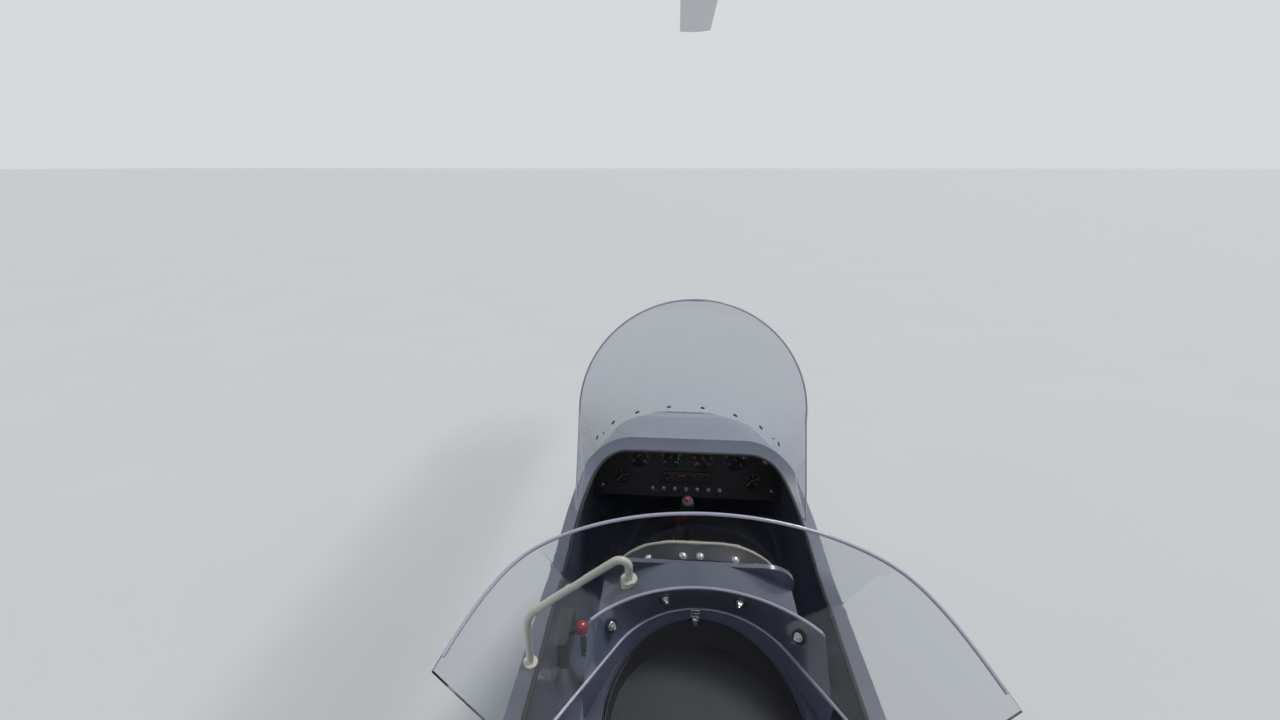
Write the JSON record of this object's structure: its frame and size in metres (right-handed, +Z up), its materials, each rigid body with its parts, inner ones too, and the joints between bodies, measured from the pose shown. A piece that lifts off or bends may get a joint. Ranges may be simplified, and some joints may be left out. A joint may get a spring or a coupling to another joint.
{
  "type": "open tandem two-seat gyrocopter",
  "caption": "Open tandem gyrocopter with a see-saw rotor on a gimballed mast head, a pusher propeller, three-wheeled gear and clear screens.",
  "frame": {"origin": "on the ground, straight below the centre of the rotor, which is also the middle of the machine's plan with its rotor parked fore and aft", "axes": "+X to the machine's right, +Y forward, +Z up"},
  "size_m": [1.79, 8.4, 2.6168],
  "materials": {
    "slate_shell": "gloss",
    "beam_paint": "satin",
    "black_paint": "satin",
    "bright_steel": "satin",
    "alloy": "satin",
    "cast_alloy": "satin",
    "clear_sheet": "gloss",
    "cushion_cloth": "matte",
    "black_plastic": "matte",
    "rubber": "matte",
    "tyre_rubber": "matte",
    "cream_tube": "gloss",
    "lamp_glass": "gloss",
    "exhaust_steel": "satin",
    "blade_alloy": "satin",
    "prop_black": "gloss"
  },
  "bodies": {
    "airframe": {"keel_beam": "beam_paint", "fuselage_tub": "slate_shell", "instrument_panel": "black_plastic", "front_seat": "slate_shell", "front_cushion": "cushion_cloth", "front_backrest": "cushion_cloth", "rear_seat": "slate_shell", "rear_cushion": "cushion_cloth", "rear_backrest": "cushion_cloth", "rear_windscreen": "clear_sheet", "screen_hood": "slate_shell", "front_windscreen": "clear_sheet", "grab_rail": "cream_tube", "throttle_lever": "black_plastic", "control_sticks": "black_plastic", "pedals": "alloy", "landing_light": "lamp_glass", "gear_bow": "slate_shell", "bow_clamp": "bright_steel", "main_axles": "alloy", "mudguards": "slate_shell", "mast": "beam_paint", "control_linkage": "bright_steel", "engine_case": "cast_alloy", "cylinders": "cast_alloy", "intakes": "black_plastic", "exhaust": "exhaust_steel", "engine_mount": "black_paint", "engine_rubbers": "rubber", "radiator": "black_paint", "oil_tank": "alloy", "tailplane": "slate_shell", "side_fins": "slate_shell", "central_fin": "slate_shell"},
    "nose_leg": {"nose_fork": "beam_paint"},
    "nose_wheel": {"nose_rim": "alloy", "nose_tyre": "tyre_rubber"},
    "left_wheel": {"left_rim": "alloy", "left_tyre": "tyre_rubber"},
    "right_wheel": {"right_rim": "alloy", "right_tyre": "tyre_rubber"},
    "gimbal": {"gimbal_block": "bright_steel"},
    "rotor_head": {"head_bridge": "alloy", "prerotator": "black_paint"},
    "rotor_shaft": {"rotor_tower": "bright_steel"},
    "rotor": {"hub_bar": "alloy", "front_blade": "blade_alloy", "rear_blade": "blade_alloy"},
    "propeller": {"propeller": "prop_black"},
    "rudder": {"rudder": "slate_shell"}
  },
  "joints": [
    {"name": "nose_steer", "type": "hinge", "parent": "airframe", "child": "nose_leg", "pos_m": [0, 1.75, 0.49], "axis": [0, 0, 1], "range_deg": [-25, 25]},
    {"name": "nose_wheel_spin", "type": "hinge", "parent": "nose_leg", "child": "nose_wheel", "pos_m": [0, 1.69, 0.2], "axis": [1, 0, 0], "continuous": true},
    {"name": "left_wheel_spin", "type": "hinge", "parent": "airframe", "child": "left_wheel", "pos_m": [-0.83, -0.3, 0.2], "axis": [1, 0, 0], "continuous": true},
    {"name": "right_wheel_spin", "type": "hinge", "parent": "airframe", "child": "right_wheel", "pos_m": [0.83, -0.3, 0.2], "axis": [1, 0, 0], "continuous": true},
    {"name": "propeller_spin", "type": "hinge", "parent": "airframe", "child": "propeller", "pos_m": [0, -0.745, 1.262], "axis": [0, 1, 0], "continuous": true},
    {"name": "rudder_hinge", "type": "hinge", "parent": "airframe", "child": "rudder", "pos_m": [0, -2.51, 0.9], "axis": [0, 0, 1], "range_deg": [-25, 25]},
    {"name": "head_roll", "type": "hinge", "parent": "airframe", "child": "gimbal", "pos_m": [0, 0.025, 2.36], "axis": [0, 1, 0], "range_deg": [-8, 8]},
    {"name": "head_pitch", "type": "hinge", "parent": "gimbal", "child": "rotor_head", "pos_m": [0, 0.025, 2.4], "axis": [1, 0, 0], "range_deg": [0, 18]},
    {"name": "rotor_spin", "type": "hinge", "parent": "rotor_head", "child": "rotor_shaft", "pos_m": [0, 0, 2.475], "axis": [0, 0, 1], "continuous": true},
    {"name": "rotor_teeter", "type": "hinge", "parent": "rotor_shaft", "child": "rotor", "pos_m": [0, 0, 2.592], "axis": [1, 0, 0], "range_deg": [-6, 6]}
  ],
  "couplings": [
    {"joint": "rudder_hinge", "follows": "nose_steer", "ratio": -1}
  ]
}
